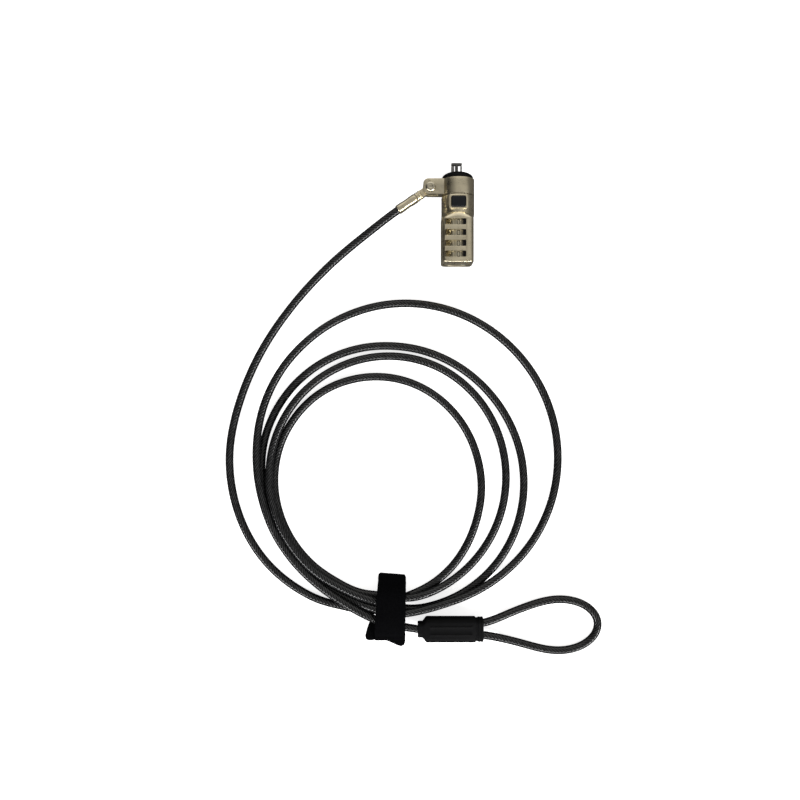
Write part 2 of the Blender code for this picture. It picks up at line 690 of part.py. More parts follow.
def loop_cover(cover_finish, ferrule_finish):
    length = COVER_RIGHT - COVER_LEFT
    stations = [
        (0, 4.0, 3.2),
        (2.5, 4.0, 3.2),
        (4.2, COVER_HALF_WIDTH / MM, COVER_HALF_DEPTH / MM),
        (28.4, COVER_HALF_WIDTH / MM, COVER_HALF_DEPTH / MM),
        (28.9, 5.6, 3.8),
        (29.9, 5.6, 3.8),
        (30.4, 5.9, 4.1),
        (length / MM, 5.9, 4.1),
    ]
    rings = []
    for x, half_y, half_z in stations:
        half = half_y * MM, half_z * MM
        ring = rounded_rectangle((COVER_Y, COVER_Z), half, min(half_z, 3.2) * MM, steps=4)
        rings.append([(COVER_LEFT + x * MM, y, z) for y, z in ring])
    obj = add("loop_cover", grid_of_rings(rings), cover_finish)
    pocket = rounded_rectangle((COVER_Y, COVER_Z), (5.25 * MM, 3.1 * MM), 2.2 * MM)
    cut(obj, prism(pocket, "X", FERRULE_LEFT - GAP, COVER_RIGHT + 1 * MM))
    hole = rod(CABLE_RADIUS + GAP, COVER_LEFT - 1 * MM, FERRULE_LEFT, 16)
    cut(obj, moved(hole, (0, COVER_Y, COVER_Z), Matrix.Rotation(-math.pi / 2, 4, "Z")))
    ferrule = rounded_rectangle((COVER_Y, COVER_Z), (4.8 * MM, 2.7 * MM), 2.4 * MM)
    add("loop_ferrule", prism(ferrule, "X", FERRULE_LEFT, FERRULE_RIGHT), ferrule_finish)


def main():
    clear_scene()
    nickel = material("satin_nickel", (0.47, 0.44, 0.37), 0.28, 1.0)
    wheel_metal = material("wheel_metal", (0.62, 0.6, 0.55), 0.35, 1.0)
    steel = material("steel", (0.55, 0.55, 0.56), 0.3, 1.0)
    brass = material("brass", (0.65, 0.5, 0.25), 0.35, 1.0)
    dark_steel = material("dark_steel", (0.02, 0.02, 0.022), 0.45, 1.0)
    black_plastic = material("black_plastic", (0.012, 0.012, 0.014), 0.4, 0.0)
    jacket = material("cable_jacket", (0.05, 0.05, 0.052), 0.15, 0.0)
    pile = material("strap_pile", (0.006, 0.006, 0.007), 0.95, 0.0)

    pivot = joint_axis("cable_pivot", (RIVET_X, RIVET_Y, NECK_Z))
    swivel_collar(nickel, pivot)
    pivot_rivet(nickel, pivot)

    head = joint_axis("collar_swivel", (0, COLLAR_LOW, NECK_Z))
    hang(head, pivot)
    dial_housing(nickel, head)
    base_cap(nickel, head)
    reset_axis = joint_axis("reset_axis", (MECH_X + RESET_OFFSET[0], 0, MECH_Z + RESET_OFFSET[2]))
    hang(reset_axis, head)
    reset_screw(steel, reset_axis)
    divider_plate(steel, head)
    detent_spring(dark_steel, head)
    number_wheels(wheel_metal, brass, head)
    control_shaft(steel, steel, head)
    button(black_plastic, steel, head)
    t_bar_spindle(steel, head)
    spindle_bush(brass, head)
    nose_insert(steel, head)
    bumper_cap(black_plastic, head)

    cable_eye_end(nickel)
    crimp_sleeve(nickel)
    cable_coil(jacket)
    cable_tubes(jacket)
    strap(pile)
    loop_cover(black_plastic, steel)


main()
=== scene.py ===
"""The visual model of a combination cable lock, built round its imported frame."""

import math

import bmesh
import bpy
import numpy as np
from mathutils import Matrix, Vector, noise


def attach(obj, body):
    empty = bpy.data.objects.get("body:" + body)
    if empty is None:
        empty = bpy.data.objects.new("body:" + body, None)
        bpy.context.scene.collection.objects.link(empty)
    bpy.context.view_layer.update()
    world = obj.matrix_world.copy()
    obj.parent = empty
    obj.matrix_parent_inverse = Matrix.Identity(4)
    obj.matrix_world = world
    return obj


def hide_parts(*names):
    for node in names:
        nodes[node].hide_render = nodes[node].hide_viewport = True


MM = 0.001
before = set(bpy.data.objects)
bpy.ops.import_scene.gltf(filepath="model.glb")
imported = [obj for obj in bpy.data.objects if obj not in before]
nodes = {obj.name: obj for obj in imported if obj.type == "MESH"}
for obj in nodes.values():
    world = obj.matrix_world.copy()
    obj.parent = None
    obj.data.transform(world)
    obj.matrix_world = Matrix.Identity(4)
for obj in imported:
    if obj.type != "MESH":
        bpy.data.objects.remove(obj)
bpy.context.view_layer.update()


# ---- camera, light and floor ----

CAMERA = Vector((-28.6, -78.55, 452.0)) * MM
FLOOR_HALF, FLOOR_DROP = 3.0, 0.02 * MM
FLOOR_GLOW, FLOOR_WHITE, FLOOR_DIM = 0.74, 0.9, 0.11
WARM_WHITE = (1, 0.985, 0.95)
LIGHT_TARGET = Vector((-20, -90, 0)) * MM
WINDOWS = [  # name, place and size in millimetres, power
    ("window_right", (760, -900, 580), (900, 240), 15.0),
    ("window_left", (-700, -900, 580), (800, 210), 10.0),
    ("window_mid", (60, -1150, 620), (420, 180), 4.0),
]


def fill(tree, socket, value):
    """Links a socket to another node's output, or sets its value; a colour comes without its alpha."""
    if isinstance(value, bpy.types.NodeSocket):
        tree.links.new(value, socket)
    else:
        socket.default_value = (*value, 1) if socket.type == "RGBA" else value


def add_camera():
    scene = bpy.context.scene
    data = bpy.data.cameras.new("camera")
    data.lens, data.sensor_width = 40.5, 36.0
    data.clip_start, data.clip_end = 0.01, 10
    camera = bpy.data.objects.new("camera", data)
    camera.location = CAMERA
    scene.collection.objects.link(camera)
    scene.camera = camera
    scene.view_settings.view_transform = "Standard"


def add_floor():
    """Seen directly the floor is a bright sweep with faint shadows; what it throws back is dimmer."""
    mesh = bpy.data.meshes.new("floor")
    corners = [(x * FLOOR_HALF, y * FLOOR_HALF, 0) for x, y in ((-1, -1), (1, -1), (1, 1), (-1, 1))]
    mesh.from_pydata(corners, [], [(0, 1, 2, 3)])
    floor = bpy.data.objects.new("floor", mesh)
    floor.location.z = -FLOOR_DROP
    bpy.context.scene.collection.objects.link(floor)
    pale = bpy.data.materials.new("floor")
    pale.use_nodes = True
    tree = pale.node_tree
    tree.nodes.clear()
    output = tree.nodes.new("ShaderNodeOutputMaterial")
    paths = tree.nodes.new("ShaderNodeLightPath")
    mix = tree.nodes.new("ShaderNodeMixShader")
    dim = tree.nodes.new("ShaderNodeBsdfDiffuse")
    add = tree.nodes.new("ShaderNodeAddShader")
    glow = tree.nodes.new("ShaderNodeEmission")
    white = tree.nodes.new("ShaderNodeBsdfDiffuse")
    for socket, value in [
        (dim.inputs["Color"], (FLOOR_DIM,) * 3),
        (glow.inputs["Strength"], FLOOR_GLOW),
        (white.inputs["Color"], (FLOOR_WHITE,) * 3),
        (add.inputs[0], glow.outputs[0]),
        (add.inputs[1], white.outputs[0]),
        (mix.inputs[0], paths.outputs["Is Camera Ray"]),
        (mix.inputs[1], dim.outputs[0]),
        (mix.inputs[2], add.outputs[0]),
        (output.inputs[0], mix.outputs[0]),
    ]:
        fill(tree, socket, value)
    mesh.materials.append(pale)


def add_light():
    """A dim studio, darker to the left and low down, with a glow to the north and three windows."""
    scene = bpy.context.scene
    world = bpy.data.worlds.new("world")
    scene.world = world
    world.use_nodes = True
    tree = world.node_tree

    def node(kind, key, choice, *values):
        made = tree.nodes.new(kind)
        setattr(made, key, choice)
        for socket, value in zip(made.inputs, values):
            fill(tree, socket, value)
        return made.outputs[0]

    def ramp(value, low, high, to_low, to_high):
        limits = (low, high, to_low, to_high)
        return node("ShaderNodeMapRange", "interpolation_type", "SMOOTHSTEP", value, *limits)

    split = tree.nodes.new("ShaderNodeSeparateXYZ")
    fill(tree, split.inputs[0], tree.nodes.new("ShaderNodeTexCoord").outputs["Generated"])
    east, north, up = split.outputs
    side = ramp(east, -0.95, -0.05, 0.04, 1.0)
    sky = ramp(up, 0.0, 0.62, 0.1, 0.46)
    glow = ramp(north, 0.45, 0.85, 0.0, 0.95)
    both = node("ShaderNodeMath", "operation", "MULTIPLY", side, sky)
    total = node("ShaderNodeMath", "operation", "ADD", both, glow)
    background = tree.nodes["Background"]
    fill(tree, background.inputs["Strength"], total)
    fill(tree, background.inputs["Color"], WARM_WHITE)

    for name, place, size, power in WINDOWS:
        light = bpy.data.lights.new(name, "AREA")
        light.shape = "RECTANGLE"
        light.size, light.size_y = size[0] * MM, size[1] * MM
        light.energy = power
        lamp = bpy.data.objects.new(name, light)
        lamp.location = Vector(place) * MM
        lamp.rotation_euler = (LIGHT_TARGET - lamp.location).to_track_quat("-Z", "Y").to_euler()
        scene.collection.objects.link(lamp)


# ---- materials ----


class Nodes:
    """Shorthand for writing a material's node tree."""

    def __init__(self, name):
        self.material = bpy.data.materials.new(name)
        self.material.use_nodes = True
        self.tree = self.material.node_tree
        self.shader = self.tree.nodes["Principled BSDF"]

    def put(self, socket, value):
        fill(self.tree, self.shader.inputs[socket], value)

    def node(self, kind, output=0, **inputs):
        made = self.tree.nodes.new(kind)
        for key, value in inputs.items():
            fill(self.tree, made.inputs[key.replace("_", " ")], value)
        return made.outputs[output]

    def maths(self, operation, *values):
        made = self.tree.nodes.new("ShaderNodeMath")
        made.operation = operation
        for socket, value in zip(made.inputs, values):
            fill(self.tree, socket, value)
        return made.outputs[0]

    def mix(self, share, a, b):
        made = self.tree.nodes.new("ShaderNodeMix")
        made.data_type = "RGBA"
        for index, value in ((0, share), (6, a), (7, b)):
            fill(self.tree, made.inputs[index], value)
        return made.outputs[2]

    def ranged(self, value, low, high, to_low=0.0, to_high=1.0):
        limits = {"From_Min": low, "From_Max": high, "To_Min": to_low, "To_Max": to_high}
        return self.node("ShaderNodeMapRange", Value=value, **limits)

    def place(self):
        return self.node("ShaderNodeTexCoord", output="Object")

    def noise(self, scale, detail, vector=None):
        vector = self.place() if vector is None else vector
        return self.node("ShaderNodeTexNoise", Vector=vector, Scale=scale, Detail=detail)

    def bump(self, height, distance, strength):
        return self.node("ShaderNodeBump", Height=height, Distance=distance, Strength=strength)


STRANDS = 9
WIRES = 3  # to a strand, as the relief shows them
WIRE_TURN = 6.5  # radians of their lay to each millimetre


def jacketed_steel():
    """Twisted dark wire strands seen through a smooth clear jacket, with a painted highlight along each strand's
    crest.
    """
    n = Nodes("jacketed_steel")
    uv = n.tree.nodes.new("ShaderNodeUVMap")
    uv.uv_map = "strands"
    split = n.tree.nodes.new("ShaderNodeSeparateXYZ")
    fill(n.tree, split.inputs[0], uv.outputs[0])
    across, along = split.outputs[0], split.outputs[1]
    crown = n.maths("SINE", n.maths("MULTIPLY", n.maths("FRACT", across), math.pi))
    lay = n.maths("MULTIPLY", along, WIRE_TURN)
    turn = n.maths("ADD", n.maths("MULTIPLY", across, 2 * WIRES * math.pi), lay)
    wires = n.maths("MULTIPLY_ADD", n.maths("SINE", turn), 0.16, n.maths("POWER", crown, 0.7))
    blotch = n.noise(700, 3.0)
    # painted highlight and shade: the base colour is light along each strand's crest and near black in the furrows
    # between strands
    line = n.maths("MULTIPLY", n.maths("POWER", crown, 4.0), n.ranged(blotch, 0.32, 0.68, 0.25, 1.2))
    crest_highlight_tone = n.mix(line, (0.0003, 0.0003, 0.0004), (0.042, 0.042, 0.044))
    n.put("Base Color", crest_highlight_tone)
    n.put("Metallic", 0.2)
    n.put("Roughness", n.ranged(blotch, 0.3, 0.7, 0.35, 0.5))
    n.put("Specular IOR Level", 0.03)
    n.put("Normal", n.bump(wires, 0.0001, 0.7))
    n.put("Coat Weight", 0.62)
    n.put("Coat Roughness", 0.07)
    n.put("Coat IOR", 1.45)
    return n.material


def satin_metal(name, color, roughness):
    """Plated metal with a fine satin grain, faint stains and slightly brighter edges, a painted highlight."""
    n = Nodes(name)
    place = n.place()
    fine = n.noise(6500, 4.0, place)
    cloud = n.noise(260, 3.0, place)
    scratches = n.noise(1.0, 2.0, n.node("ShaderNodeMapping", Vector=place, Scale=(900.0, 14000.0, 5000.0)))
    # painted highlight: convex edges, found by pointiness, are lightened in the base colour
    edge_highlight = n.ranged(n.node("ShaderNodeNewGeometry", output="Pointiness"), 0.5, 0.62)
    dark, bright = tuple(c * 0.82 for c in color), tuple(min(1.0, c * 1.25) for c in color)
    base = n.mix(n.ranged(cloud, 0.3, 0.7), dark, color)
    n.put("Base Color", n.mix(n.maths("MULTIPLY", edge_highlight, 0.6), base, bright))
    n.put("Metallic", 1.0)
    stained = n.ranged(cloud, 0.3, 0.7, roughness - 0.05, roughness + 0.06)
    n.put("Roughness", n.maths("ADD", stained, n.ranged(scratches, 0.3, 0.7, -0.04, 0.05)))
    height = n.maths("ADD", n.maths("MULTIPLY", fine, 0.6), n.maths("MULTIPLY", scratches, 0.5))
    n.put("Normal", n.bump(height, 0.00003, 0.5))
    return n.material


def moulded(name, color, roughness, grain, coat=0.0):
    """Moulded plastic with a fine spark-eroded texture."""
    n = Nodes(name)
    fine = n.noise(7000, 3.0)
    cloud = n.noise(300, 2.0)
    dark, bright = tuple(c * 0.8 for c in color), tuple(c * 1.25 for c in color)
    n.put("Base Color", n.mix(n.ranged(cloud, 0.3, 0.7), dark, bright))
    n.put("Roughness", n.ranged(cloud, 0.3, 0.7, roughness - 0.05, roughness + 0.05))
    n.put("Normal", n.bump(fine, 0.00005, grain))
    n.put("Specular IOR Level", 0.07)
    n.put("Coat Weight", coat)
    n.put("Coat Roughness", 0.06)
    return n.material


def finishes():
    return {
        "nickel": satin_metal("satin_nickel", (0.66, 0.59, 0.43), 0.3),
        "rivet": satin_metal("bright_nickel", (0.58, 0.53, 0.41), 0.27),
        "wheel": satin_metal("wheel_metal", (0.56, 0.51, 0.38), 0.3),
        "steel": satin_metal("machined_steel", (0.36, 0.36, 0.36), 0.28),
        "brass": satin_metal("brass", (0.66, 0.47, 0.2), 0.3),
        "dark": satin_metal("black_oxide", (0.018, 0.018, 0.02), 0.4),
        "spindle": satin_metal("blackened_steel", (0.16, 0.155, 0.15), 0.34),
        "plastic": moulded("black_plastic", (0.0035, 0.0035, 0.004), 0.45, 0.35),
        "cover": moulded("cover_plastic", (0.0022, 0.0022, 0.0025), 0.6, 0.6),
        # the button's faint blue tint is a painted reflection on black plastic
        "gloss": moulded("button_gloss", (0.0015, 0.0025, 0.004), 0.22, 0.05, 0.6),
        "ink": moulded("number_ink", (0.006, 0.006, 0.006), 0.5, 0.2),
    }


CARRIED = {  # the CAD nodes shown as they are, by finish
    "steel": ["divider_plate", "control_shaft", "shaft_spring", "button_spring", "loop_ferrule"],
    "brass": ["spindle_bush", "code_sleeve_1", "code_sleeve_2", "code_sleeve_3", "code_sleeve_4"],
    "dark": ["detent_spring"],
}


# ---- cable ----

CABLE_RADIUS = 1.95
LEAD_ROUTE = [
    (-27.6, 16.5, 8.1),
    (-30.0, 14.85, 8.1),
    (-39.0, 8.2, 7.4),
    (-58.3, -6.65, 3.4),
    (-73.9, -21.6, 2.0),
    (-86.1, -36.3, 2.0),
    (-95.7, -50.5, 2.0),
    (-103.0, -64.5, 2.0),
    (-108.35, -78.3, 2.0),
    (-112.0, -91.85, 2.0),
    (-113.75, -105.3, 2.0),
    (-113.15, -118.55, 2.0),
    (-110.55, -131.25, 2.0),
    (-106.05, -143.1, 2.0),
    (-99.8, -153.9, 2.0),
    (-91.9, -163.25, 2.0),
    (-82.55, -170.95, 2.0),
    (-72.2, -176.95, 2.0),
    (-63.6, -180.1, 2.0),
    (-53.3, -182.0, 2.2),
    (-44.0, -183.8, 3.25),
    (-34.0, -181.5, 3.25),
]
# Heights of a turn by its angle: two turns start over the others at the strap, and two start under them
OVER = [
    (-90, 7.1), (-78, 6.9), (-66, 6.0), (-60, 5.4), (-54, 4.2), (-46, 2.0),
    (112, 2.0), (140, 5.2), (232, 5.3), (250, 6.5), (262, 7.1),
]
OVER_INNER = [
    (-90, 7.1), (-76, 6.8), (-66, 4.9), (-60, 2.9), (-56, 2.0),
    (112, 2.0), (140, 5.2), (246, 5.3), (261, 7.1),
]
UNDER = [(-90, 3.25), (-76, 3.1), (-66, 2.0), (246, 2.0), (262, 3.25)]
UNDER_OUTER = [(-90, 3.25), (-80, 3.1), (-70, 2.0), (236, 2.0), (256, 6.4)]
# How far each turn, from the innermost, swings out of its ellipses (inwards where negative), by its angle
ASIDE = [
    [
        (-15, 0), (0, 0.5), (30, 0.4), (50, 0), (70, -0.45), (90, -0.8), (105, -0.8),
        (125, -0.35), (160, -0.1), (200, -0.7), (225, -0.85), (240, -0.6), (255, 0),
    ],
    [(60, 0), (90, -0.4), (115, -0.5), (140, -0.2), (160, 0)],
    [
        (-10, -0.35), (20, -0.35), (40, -0.75), (60, -1.25), (75, -1.65),
        (95, -2.2), (115, -2.0), (130, -1.65), (150, -0.9), (170, 0),
    ],
    [
        (80, -0.2), (110, -0.3), (130, 0), (145, 0.5), (160, 0.7), (175, 0.3),
        (185, 0), (200, -0.35), (220, -0.8), (235, -0.7), (248, -0.3),
    ],
]
# Each turn from the innermost: the ellipses it follows at its start and at its end, as centre x, centre y,
# half width and half height; the angles it runs between; its pull along y at each of them; heights; swing
TURNS = [
    ((-38.9, -126.1, 49.3, 53.0), (-38.9, -116.8, 54.0, 57.4), (-74, 262), (0.0, -1.8), UNDER, ASIDE[0]),
    ((-37.3, -114.1, 64.1, 65.5), (-37.3, -120.0, 54.1, 55.8), (-79, 261), (0.6, -2.4), OVER_INNER, ASIDE[1]),
    ((-27.3, -130.3, 56, 53.1), (-27.3, -103, 75.3, 80.3), (-87, 256), (0.3, -0.9), UNDER_OUTER, ASIDE[2]),
    ((-28.1, -103.3, 81.8, 79.9), (-28.1, -111.6, 68.7, 74.8), (-87, 248), (-1.1, 0.0), OVER, ASIDE[3]),
]
TAIL_ROUTE = [
    (-43.8, -185.6, 6.8),
    (-35.0, -189.0, 5.6),
    (-25.2, -191.5, 4.4),
    (-21.3, -192.35, 4.3),
    (-16.0, -192.5, 4.3),
    (-9.0, -192.5, 4.3),
]
LOOP_ROUTE = [
    (1.0, -190.1, 4.3),
    (9.0, -189.9, 4.3),
    (13.15, -189.5, 4.15),
    (27.9, -184.35, 2.3),
    (41.2, -179.75, 2.0),
    (52.4, -178.3, 2.0),
    (62.6, -180.8, 2.0),
    (68.8, -185.9, 2.0),
    (70.3, -190.5, 2.0),
    (68.25, -196.1, 2.0),
    (62.6, -200.7, 2.0),
    (54.95, -203.2, 2.0),
    (47.3, -203.5, 2.0),
    (37.1, -201.45, 2.0),
    (26.9, -198.65, 2.3),
    (13.15, -195.5, 4.15),
    (9.0, -195.1, 4.3),
    (1.0, -194.9, 4.3),
]
START_SHARE = 0.25  # a turn goes from its first ellipse, at -90 degrees, to its second, at 270
TURN_POINTS = 84
PULL_START, PULL_END, PULL_EASE = 14, 17, 1.3  # degrees that the pulls at a turn's two ends fade over
VIEW_HEIGHT, RESTING = 450, 2  # from the camera to a resting cable, and that cable's height
ROUTE_STEP = 3.0
NEAR = 8  # points this close to each other along the route don't push
CLEAR = 0.1  # between two stretches that push each other
GROUND = CABLE_RADIUS + 0.05
STRAP_X, STRAP_HALF, STRAP_FADE, STRAP_LIFT, BUNDLE_Y = -35.5, 10, 14, 1.2, -160
COVER_LEFT, COVER_RIGHT, COVER_BACK, COVER_LOW = -24, 16, -184, 3.9  # the stretch that its cover holds
EYE_POINTS = 12  # points that the eye end holds
START_EASE, END_EASE = 30, 12  # rounds of easing before and after the settling
SETTLE_ROUNDS, PUSH_ROUNDS = 140, 2
HOLD, SPREAD, PUSH = 0.96, 0.5, 0.55  # how much of a shift stays, evens out along the cable, and is pushed


def curve_through(points, spacing):
    """Points at an even spacing along a Catmull-Rom curve."""
    knots = np.array([2 * points[0] - points[1], *points, 2 * points[-1] - points[-2]])
    t = np.linspace(0, 1, 16, endpoint=False)[:, None]
    fine = []
    for a, b, c, d in zip(knots, knots[1:], knots[2:], knots[3:]):
        square, cube = 2 * a - 5 * b + 4 * c - d, 3 * b - a - 3 * c + d
        fine.append(0.5 * (2 * b + (c - a) * t + square * t**2 + cube * t**3))
    fine = np.concatenate([*fine, knots[-2:-1]])
    lengths = np.concatenate([[0], np.cumsum(np.linalg.norm(np.diff(fine, axis=0), axis=1))])
    wanted = np.linspace(0, lengths[-1], max(3, round(lengths[-1] / spacing)) + 1)
    return np.stack([np.interp(wanted, lengths, fine[:, k]) for k in range(3)], axis=1)


def eased(path, rounds):
    """The path with its kinks taken out and its wide bends left as they are."""
    path = path.copy()
    for _ in range(rounds):
        for factor in (0.5, -0.52):
            path[1:-1] += factor * ((path[:-2] + path[2:]) / 2 - path[1:-1])
    return path


def turn_points(start, end, span, pulls, heights, aside):
    middle = np.array([CAMERA.x, CAMERA.y]) / MM
    made = []
    for degrees in np.linspace(*span, TURN_POINTS):
        share = degrees / 360 + START_SHARE
        x, y, half_x, half_y = (a + (b - a) * share for a, b in zip(start, end))
        z = np.interp(degrees, *zip(*heights))
        angle = math.radians(degrees)
        swing = np.interp(degrees, *zip(*aside))
        seen = np.array([x + (half_x + swing) * math.cos(angle), y + (half_y + swing) * math.sin(angle)])
        seen[1] += pulls[0] * np.clip((span[0] + PULL_START - degrees) / PULL_START, 0, 1)
        seen[1] += pulls[1] * np.clip((degrees - span[1] + PULL_END) / PULL_END, 0, 1) ** PULL_EASE
        # a part that lies higher looks further from the middle than it is
        made.append(np.array([*(middle + (seen - middle) * (1 - (z - RESTING) / VIEW_HEIGHT)), z]))
    return made


def cable_route():
    """The cable from end to end, in millimetres, settled so that its stretches push each other apart."""
    free = [np.array(p) for p in LEAD_ROUTE]
    for turn in TURNS:
        free += turn_points(*turn)
    free += [np.array(p) for p in TAIL_ROUTE + LOOP_ROUTE]
    target = eased(curve_through(free, ROUTE_STEP), START_EASE)
    at = target.copy()
    index = np.arange(len(at))
    apart = np.abs(np.subtract.outer(index, index)) > NEAR
    # the strap's lower layer lifts the bundle off the table, and the two fittings hold the ends
    beside = np.maximum(0, np.abs(at[:, 0] - STRAP_X) - STRAP_HALF)
    lowest = GROUND + STRAP_LIFT * (np.clip(1 - beside / STRAP_FADE, 0, 1) * (at[:, 1] < BUNDLE_Y))
    x, y, z = target.T
    held = (z > COVER_LOW) & (x > COVER_LEFT) & (x < COVER_RIGHT) & (y < COVER_BACK)
    held[:EYE_POINTS] = True
    free_share = 1.0 - held[:, None]
    least = 2 * CABLE_RADIUS + CLEAR
    for _ in range(SETTLE_ROUNDS):
        shift = (at - target) * HOLD
        shift[1:-1] += ((shift[:-2] + shift[2:]) / 2 - shift[1:-1]) * SPREAD
        at = target + shift * free_share
        for _ in range(PUSH_ROUNDS):
            away = at[:, None] - at[None]
            distance = np.linalg.norm(away, axis=2)
            close = apart & (distance < least)
            gap = np.where(close, least - distance, 0) / np.maximum(distance, 0.01)
            push = (gap[:, :, None] * away).sum(1) / np.maximum(1, close.sum(1))[:, None]
            at += PUSH * push * free_share
        at[:, 2] = np.maximum(at[:, 2], lowest)
    at += (eased(at, END_EASE) - at) * free_share
    at[:, 2] = np.maximum(at[:, 2], GROUND)
    return at


JACKET_EXTRA, GROOVE = 0.04, 0.07  # the jacket's crowns and furrows against the cable's radius
STRAND_PITCH = 1.75  # along the cable, from one strand to the next
COLUMNS = 4 * STRANDS
TUBE_STEP = 0.8


def cable_tube(route):
    """The jacket along the route, its columns winding with the strands, four to each."""
    path = curve_through(route, TUBE_STEP)
    along = np.gradient(path, axis=0)
    along /= np.linalg.norm(along, axis=1)[:, None]
    lengths = np.concatenate([[0], np.cumsum(np.linalg.norm(np.diff(path, axis=0), axis=1))])
    side = np.cross(along[0], (0, 0, 1.0))
    sides = []
    for t in along:
        side = side - t * side.dot(t)
        side = side / np.linalg.norm(side)
        sides.append(side)
    sides = np.array(sides)
    ups = np.cross(along, sides)
    angles = 2 * np.pi * np.arange(COLUMNS) / COLUMNS
    turn = angles[None] + 2 * math.pi / (STRANDS * STRAND_PITCH) * lengths[:, None]
    lobe = CABLE_RADIUS + JACKET_EXTRA - GROOVE * np.array([1, 0.25, 0, 0.25] * STRANDS)
    ring = (np.cos(turn) * lobe)[:, :, None] * sides[:, None]
    ring += (np.sin(turn) * lobe)[:, :, None] * ups[:, None]
    points = (path[:, None] + ring).reshape(-1, 3) * MM
    last = len(path) - 1
    i, j = np.meshgrid(np.arange(last), np.arange(COLUMNS), indexing="ij")
    k = (j + 1) % COLUMNS
    corners = [i * COLUMNS + j, i * COLUMNS + k, (i + 1) * COLUMNS + k, (i + 1) * COLUMNS + j]
    faces = np.stack(corners, -1).reshape(-1, 4)
    ends = [list(range(COLUMNS))[::-1], [last * COLUMNS + j for j in range(COLUMNS)]]
    mesh = bpy.data.meshes.new("cable")
    mesh.from_pydata(points.tolist(), [], faces.tolist() + ends)
    u = np.stack([j, j + 1, j + 1, j], -1).reshape(-1, 4) / 4
    v = lengths[np.stack([i, i, i + 1, i + 1], -1)].reshape(-1, 4)
    strands = np.zeros((len(mesh.loops), 2), dtype=np.float32)
    strands[: u.size, 0], strands[: u.size, 1] = u.ravel(), v.ravel()
    mesh.uv_layers.new(name="strands").data.foreach_set("uv", strands.ravel())
    mesh.shade_smooth()
    obj = bpy.data.objects.new("cable", mesh)
    bpy.context.scene.collection.objects.link(obj)
    return obj


def cable():
    route = cable_route()
    obj = cable_tube(route)
    obj.data.materials.append(jacketed_steel())
    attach(obj, "cable")
    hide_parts("cable_lead", "cable_coil", "cable_tail", "cable_loop")


# ---- shapes ----


def skin(rings, closed=False):
    """A closed skin over rings of points, capped at both ends unless it closes on itself."""
    bm = bmesh.new()
    loops = [[bm.verts.new(p) for p in ring] for ring in rings]
    count = len(loops)
    for i in range(count if closed else count - 1):
        a, b = loops[i], loops[(i + 1) % count]
        for j in range(len(a)):
            k = (j + 1) % len(a)
            bm.faces.new((a[j], a[k], b[k], b[j]))
    if not closed:
        bm.faces.new(loops[0])
        bm.faces.new(loops[-1])
    bmesh.ops.recalc_face_normals(bm, faces=bm.faces)
    return bm


def turned(profile, segments=96, hollow=False, radius_at=None):
    """A solid of revolution round Y from (radius, y) points; radius_at(angle, radius) may shape it."""
    angles = [2 * math.pi * i / segments for i in range(segments)]
    shaped = radius_at or (lambda angle, radius: radius)
    rings = []
    for r, y in profile:
        rings.append([(shaped(a, r) * math.sin(a), y, shaped(a, r) * math.cos(a)) for a in angles])
    return skin(rings, hollow)


def rod(radius, low, high, segments=64):
    return turned([(radius, low), (radius, high)], segments)


def tube(outer, inner, low, high, segments=96):
    return turned([(inner, low), (outer, low), (outer, high), (inner, high)], segments, hollow=True)


def prism(outline, axis, low, high):
    spread = {
        "X": lambda a, b, c: (c, a, b),
        "Y": lambda a, b, c: (a, c, b),
        "Z": lambda a, b, c: (a, b, c),
    }[axis]
    return skin([[spread(a, b, c) for a, b in outline] for c in (low, high)])


def box(low, high):
    (x0, y0, z0), (x1, y1, z1) = low, high
    return prism([(x0, y0), (x1, y0), (x1, y1), (x0, y1)], "Z", z0, z1)


def rounded(centre, half, radius, steps=6):
    """Points round a rounded rectangle."""
    points = []
    for quarter, (sx, sy) in enumerate([(1, 1), (-1, 1), (-1, -1), (1, -1)]):
        for i in range(steps + 1):
            a = math.pi / 2 * (quarter + i / steps)
            x = centre[0] + sx * (half[0] - radius) + radius * math.cos(a)
            points.append((x, centre[1] + sy * (half[1] - radius) + radius * math.sin(a)))
    return points


def moved(bm, offset=(0, 0, 0), turn=None):
    if turn:
        bmesh.ops.transform(bm, matrix=turn, verts=bm.verts)
    bmesh.ops.translate(bm, vec=Vector(offset), verts=bm.verts)
    return bm


def linked(name, bm):
    mesh = bpy.data.meshes.new(name)
    bm.to_mesh(mesh)
    bm.free()
    obj = bpy.data.objects.new(name, mesh)
    bpy.context.scene.collection.objects.link(obj)
    return obj


def piece(name, shape, body, finish, steps=(), edge=0.12, replaces=(), smooth=40):
    """A finished piece from a shape in millimetres, after its unions and cuts, with its edges bevelled."""
    obj = linked(name, shape)
    helpers = []
    for operation, bm in steps:
        helper = linked("helper", bm)
        helpers.append(helper)
        modifier = obj.modifiers.new("step", "BOOLEAN")
        modifier.operation = {"+": "UNION", "-": "DIFFERENCE"}[operation]
        modifier.object = helper
        modifier.solver = "EXACT"
    if edge:
        bevel = obj.modifiers.new("edges", "BEVEL")
        bevel.width = edge
        bevel.segments = 2
        bevel.limit_method = "ANGLE"
        bevel.angle_limit = math.radians(32)
        bevel.miter_outer = "MITER_ARC"
        bevel.use_clamp_overlap = True
        bevel.loop_slide = False
    bpy.context.view_layer.update()
    evaluated = obj.evaluated_get(bpy.context.evaluated_depsgraph_get())
    mesh = bpy.data.meshes.new_from_object(evaluated)
    mesh.transform(Matrix.Scale(MM, 4))
    obj.modifiers.clear()
    obj.data = mesh
    for helper in helpers:
        bpy.data.objects.remove(helper)
    mesh.name = name
    mesh.materials.clear()
    mesh.materials.append(finish)
    mesh.shade_smooth()
    mesh.set_sharp_from_angle(angle=math.radians(smooth))
    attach(obj, body)
    if replaces:
        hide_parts(*replaces)
    return obj


def placed(obj, offset, turn=None):
    """Moves a finished piece's mesh by so many millimetres, after turning it."""
    place = Matrix.Translation(Vector(offset) * MM)
    obj.data.transform(place @ turn if turn else place)


# ---- lock head ----

